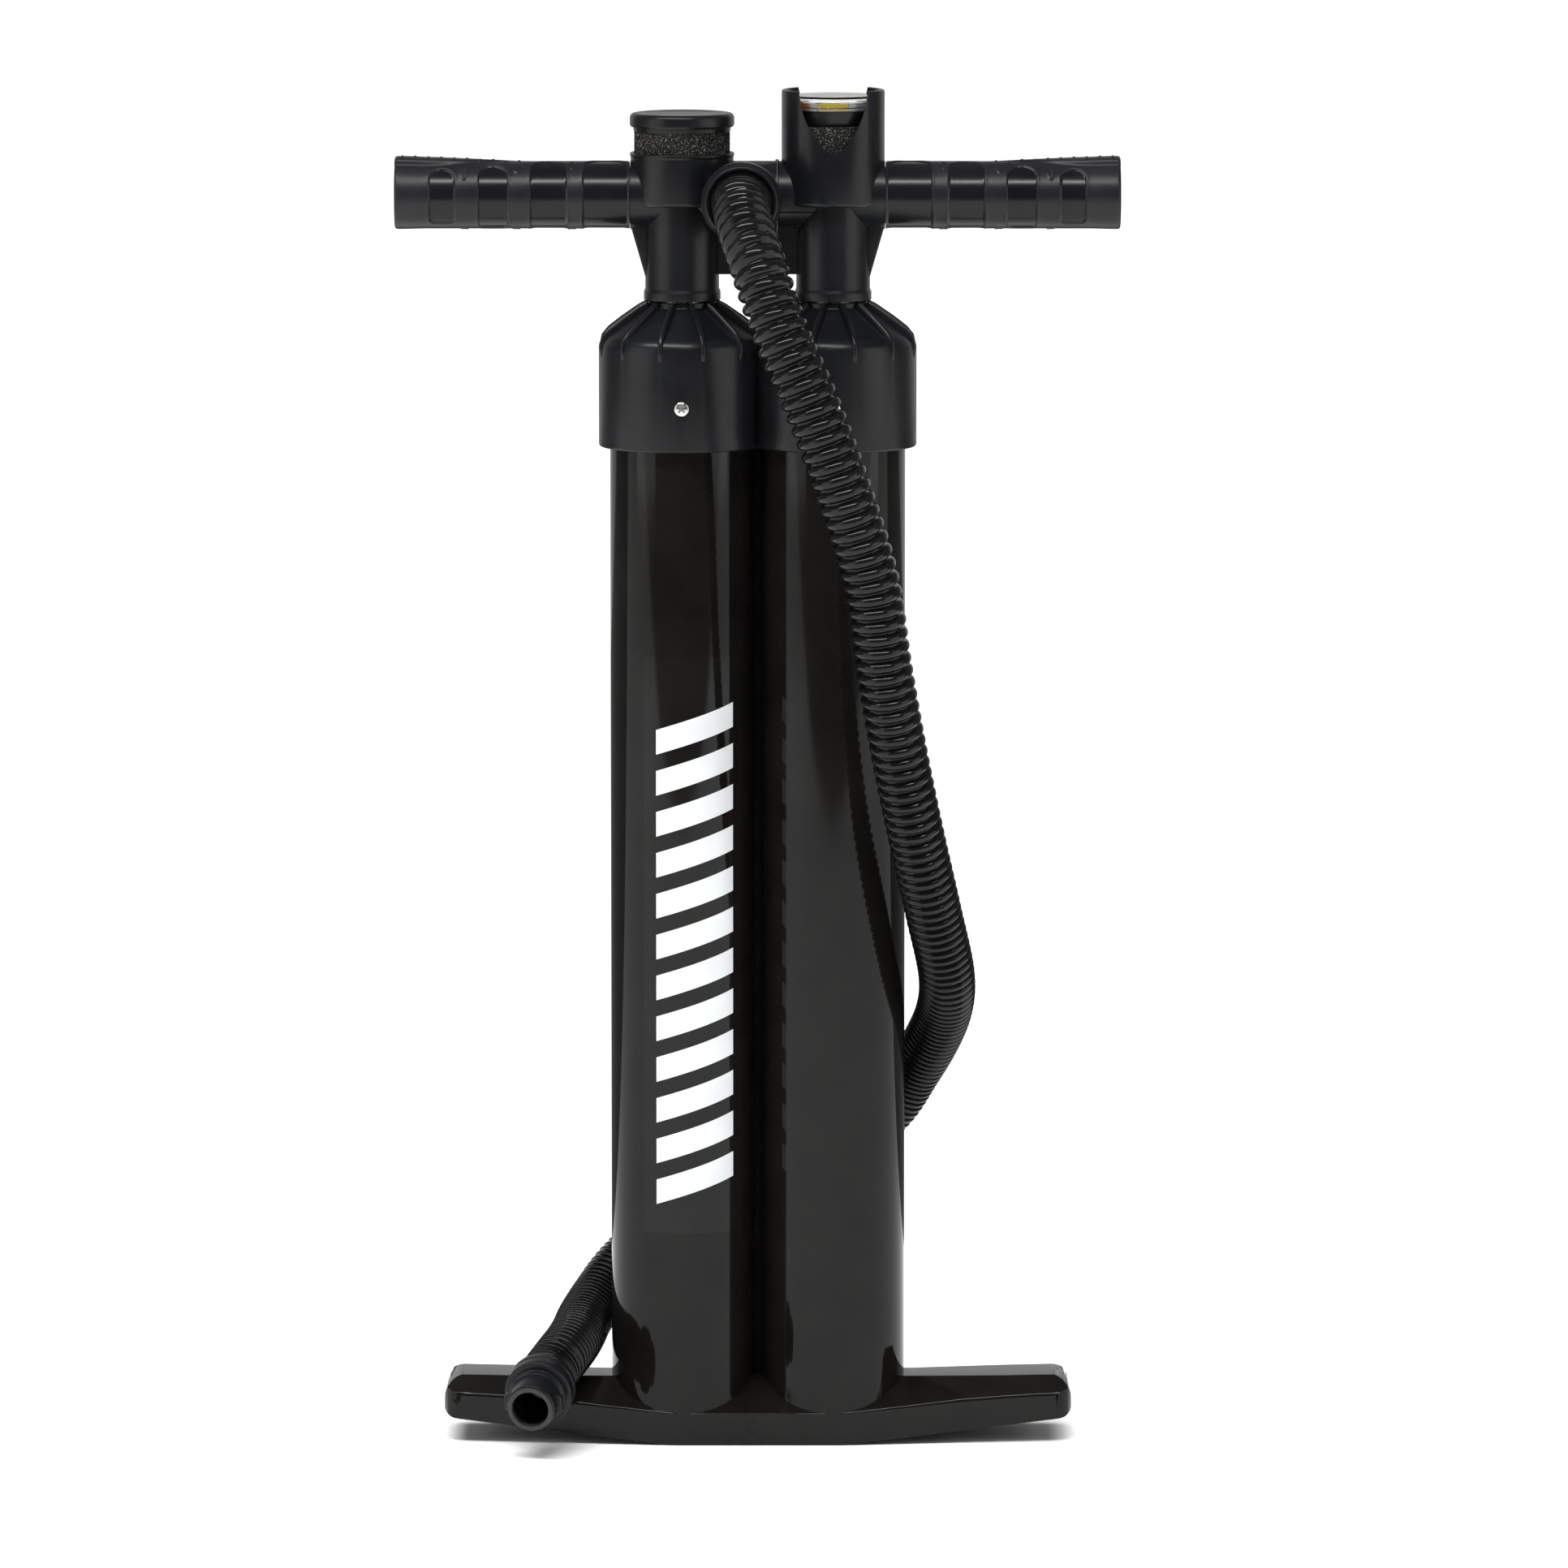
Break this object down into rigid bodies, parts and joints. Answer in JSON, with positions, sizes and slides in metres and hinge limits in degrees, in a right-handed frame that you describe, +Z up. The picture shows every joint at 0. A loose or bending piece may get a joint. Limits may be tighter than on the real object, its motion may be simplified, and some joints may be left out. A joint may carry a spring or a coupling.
{
  "type": "twin-barrel hand air pump",
  "caption": "Upright air pump: two joined barrels on a foot plate, T-handle with hollow piston rods, filter cup, pressure gauge and a ribbed stretch hose with a valve nozzle.",
  "frame": {"origin": "centre of the foot's underside, on the floor, midway between the two barrels", "axes": "+Z up along the barrels and the handle's travel, +X along the handle bar to the gauge's side, -Y to the front where the hose leaves"},
  "size_m": [0.33, 0.1767, 0.62],
  "materials": {
    "gloss_black": "gloss, warm black",
    "satin_black": "satin with a fine moulded grain",
    "grip_rubber": "soft matt overmould",
    "seal_rubber": "smooth",
    "filter_foam": "open-cell foam",
    "ribbed_hose": "satin gloss, spiral ribs",
    "white_film": "printed film on a clear ground",
    "white_nylon": "as moulded",
    "bright_steel": "bright stainless",
    "rod_aluminium": "drawn and polished",
    "dial_face": "printed",
    "needle_black": "painted",
    "clear_lens": "clear polycarbonate"
  },
  "bodies": {
    "pump_body": {"twin_barrel": "gloss_black", "twin_cap": "satin_black", "front_label": "white_film", "cap_screw_front_left": "bright_steel", "cap_screw_front_right": "bright_steel", "cap_screw_back_left": "bright_steel", "cap_screw_back_right": "bright_steel", "rod_bush_left": "satin_black", "rod_bush_right": "satin_black", "rod_seal_left": "seal_rubber", "rod_seal_right": "seal_rubber", "seal_retainer_left": "white_nylon", "seal_retainer_right": "white_nylon", "barrel_gasket_left": "seal_rubber", "barrel_gasket_right": "seal_rubber", "hose_tube": "ribbed_hose", "hose_cuff": "satin_black"},
    "handle": {"handle_left": "satin_black", "handle_right": "satin_black", "joint_sleeve": "white_nylon", "grip_left": "grip_rubber", "grip_right": "grip_rubber", "filter_foam": "filter_foam", "gauge_foam": "filter_foam", "gauge_housing": "satin_black", "gauge_dial": "dial_face", "gauge_lens": "clear_lens", "rod_left": "rod_aluminium", "rod_right": "rod_aluminium", "piston_left": "white_nylon", "piston_right": "white_nylon", "piston_seal_left": "seal_rubber", "piston_seal_right": "seal_rubber", "valve_keeper_left": "white_nylon", "valve_keeper_right": "white_nylon"},
    "filter_lid": {"filter_cap": "satin_black"},
    "needle": {"gauge_needle": "needle_black"},
    "nut": {"hose_nut": "satin_black"},
    "nozzle_head": {"nozzle": "satin_black", "nozzle_gasket": "seal_rubber"},
    "inlet_valve_left": {"inlet_disc_left": "seal_rubber"},
    "outlet_valve_left": {"outlet_disc_left": "seal_rubber"},
    "inlet_valve_right": {"inlet_disc_right": "seal_rubber"},
    "outlet_valve_right": {"outlet_disc_right": "seal_rubber"}
  },
  "joints": [
    {"name": "handle_slide", "type": "slide", "parent": "pump_body", "child": "handle", "axis": [0, 0, 1], "range_m": [0, 0.42], "deforming": ["hose_tube"]},
    {"name": "filter_cap_twist", "type": "hinge", "parent": "handle", "child": "filter_lid", "pos_m": [-0.03435, 0, 0.605], "axis": [0, 0, 1], "range_deg": [0, 90]},
    {"name": "needle_turn", "type": "hinge", "parent": "handle", "child": "needle", "pos_m": [0.03435, 0, 0.6097], "axis": [0, 0, -1], "range_deg": [0, 270], "stiffness_Nm_per_rad": 0.0002},
    {"name": "hose_nut_turn", "type": "hinge", "parent": "handle", "child": "nut", "pos_m": [-0.0073, -0.032, 0.571], "axis": [0, 1, 0], "range_deg": [0, 360]},
    {"name": "nozzle_swivel", "type": "hinge", "parent": "pump_body", "child": "nozzle_head", "pos_m": [-0.0976, -0.043, 0.0314], "axis": [-0.1859, -0.9565, -0.225], "continuous": true},
    {"name": "inlet_valve_lift_left", "type": "slide", "parent": "handle", "child": "inlet_valve_left", "axis": [0, 0, 1], "range_m": [0, 0.0015]},
    {"name": "outlet_valve_lift_left", "type": "slide", "parent": "handle", "child": "outlet_valve_left", "axis": [0, 0, 1], "range_m": [0, 0.002]},
    {"name": "inlet_valve_lift_right", "type": "slide", "parent": "handle", "child": "inlet_valve_right", "axis": [0, 0, 1], "range_m": [0, 0.0015]},
    {"name": "outlet_valve_lift_right", "type": "slide", "parent": "handle", "child": "outlet_valve_right", "axis": [0, 0, 1], "range_m": [0, 0.002]}
  ]
}
